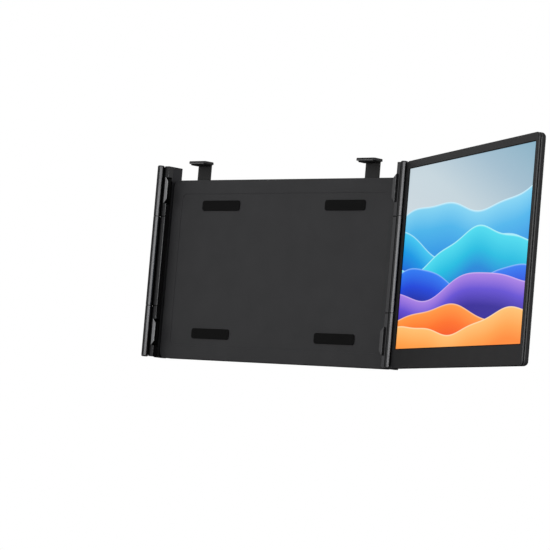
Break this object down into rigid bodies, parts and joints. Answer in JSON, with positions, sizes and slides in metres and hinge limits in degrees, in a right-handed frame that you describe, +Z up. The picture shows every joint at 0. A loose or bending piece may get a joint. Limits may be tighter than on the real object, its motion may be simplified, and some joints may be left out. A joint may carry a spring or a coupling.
{
  "type": "laptop screen extender",
  "caption": "Portable display hinged on a carrier plate that clasps a laptop lid with sprung side bars, claws and sliding top hooks, with a folding kickstand.",
  "frame": {"origin": "middle of the carrier's flat lower edge, midway between the two side bars and in the middle of the carrier's thickness", "axes": "+X from the carrier towards the display, +Y towards the back of the laptop's lid, +Z up"},
  "size_m": [0.7017, 0.2049, 0.2287],
  "materials": {
    "case_plastic": "fine matte black moulded plastic",
    "bar_metal": "satin black anodised extrusion",
    "dark_metal": "satin dark grey anodised",
    "rubber": "matte black silicone rubber",
    "steel": "plain steel",
    "black_screw": "black-oxide steel",
    "nylon": "natural nylon",
    "screen": "anti-glare screen showing a plain wave pattern",
    "light_guide": "clear acrylic sheet",
    "led": "white light strip",
    "amber_film": "amber polyimide film",
    "circuit_board": "green solder mask",
    "chip": "black moulded package"
  },
  "bodies": {
    "carrier": {"carrier_front_cover": "case_plastic", "carrier_back_cover": "case_plastic", "carrier_screws": "black_screw", "lid_pads": "rubber", "arm_guides": "nylon", "spring_posts": "case_plastic", "side_springs": "steel", "hook_retainers": "steel", "kickstand_brackets": "case_plastic", "right_spine": "dark_metal", "right_bar_top": "bar_metal", "right_bar_middle": "bar_metal", "right_bar_bottom": "bar_metal", "right_bar_caps": "rubber", "right_bar_screws": "black_screw", "right_claws": "dark_metal", "right_claw_pads": "rubber", "right_claw_screws": "black_screw", "hinge_pins": "steel"},
    "left_bar": {"left_bar_top": "bar_metal", "left_bar_middle": "bar_metal", "left_bar_bottom": "bar_metal", "left_bar_caps": "rubber", "left_tie_rod": "steel", "left_spine": "dark_metal", "slide_arms": "dark_metal", "arm_screws": "black_screw", "left_bar_screws": "black_screw", "left_claws": "dark_metal", "left_claw_pads": "rubber", "left_claw_screws": "black_screw"},
    "left_hook_body": {"left_hook": "case_plastic", "left_hook_pad": "rubber"},
    "right_hook_body": {"right_hook": "case_plastic", "right_hook_pad": "rubber"},
    "kickstand": {"kickstand_plate": "case_plastic", "kickstand_pin": "steel", "kickstand_foot": "rubber"},
    "display": {"front_bezel": "case_plastic", "lcd_panel": "screen", "light_guide": "light_guide", "led_strip": "led", "panel_tray": "steel", "panel_flex": "amber_film", "driver_board": "circuit_board", "board_chips": "chip", "board_screws": "black_screw", "button_switches": "steel", "usb_c_sockets": "steel", "mini_hdmi_socket": "steel", "speakers": "chip", "display_back_cover": "case_plastic", "back_cover_screws": "black_screw", "hinge_leaf": "bar_metal", "leaf_screws": "black_screw", "torque_clips": "steel", "hinge_washers": "nylon"},
    "power_button": {"power_button": "dark_metal"},
    "plus_button": {"plus_button": "dark_metal"},
    "minus_button": {"minus_button": "dark_metal"}
  },
  "joints": [
    {"name": "display_hinge", "type": "hinge", "parent": "carrier", "child": "display", "pos_m": [0.188, -0.018, 0.112], "axis": [0, 0, 1], "range_deg": [-151, 84]},
    {"name": "side_slide", "type": "slide", "parent": "carrier", "child": "left_bar", "axis": [-1, 0, 0], "range_m": [0, 0.045], "stiffness_N_per_m": 150, "springref_m": -0.02, "deforming": ["side_springs"]},
    {"name": "left_hook_slide", "type": "slide", "parent": "carrier", "child": "left_hook_body", "axis": [0, 0, 1], "range_m": [-0.012, 0.03]},
    {"name": "right_hook_slide", "type": "slide", "parent": "carrier", "child": "right_hook_body", "axis": [0, 0, 1], "range_m": [-0.012, 0.03]},
    {"name": "kickstand_hinge", "type": "hinge", "parent": "carrier", "child": "kickstand", "pos_m": [0, 0.0089, 0.146], "axis": [1, 0, 0], "range_deg": [0, 60]},
    {"name": "power_button_press", "type": "slide", "parent": "display", "child": "power_button", "axis": [-0.8746, 0.4848, 0], "range_m": [0, 0.0004], "stiffness_N_per_m": 600, "springref_m": -0.0015},
    {"name": "plus_button_press", "type": "slide", "parent": "display", "child": "plus_button", "axis": [-0.8746, 0.4848, 0], "range_m": [0, 0.0004], "stiffness_N_per_m": 600, "springref_m": -0.0015},
    {"name": "minus_button_press", "type": "slide", "parent": "display", "child": "minus_button", "axis": [-0.8746, 0.4848, 0], "range_m": [0, 0.0004], "stiffness_N_per_m": 600, "springref_m": -0.0015}
  ]
}
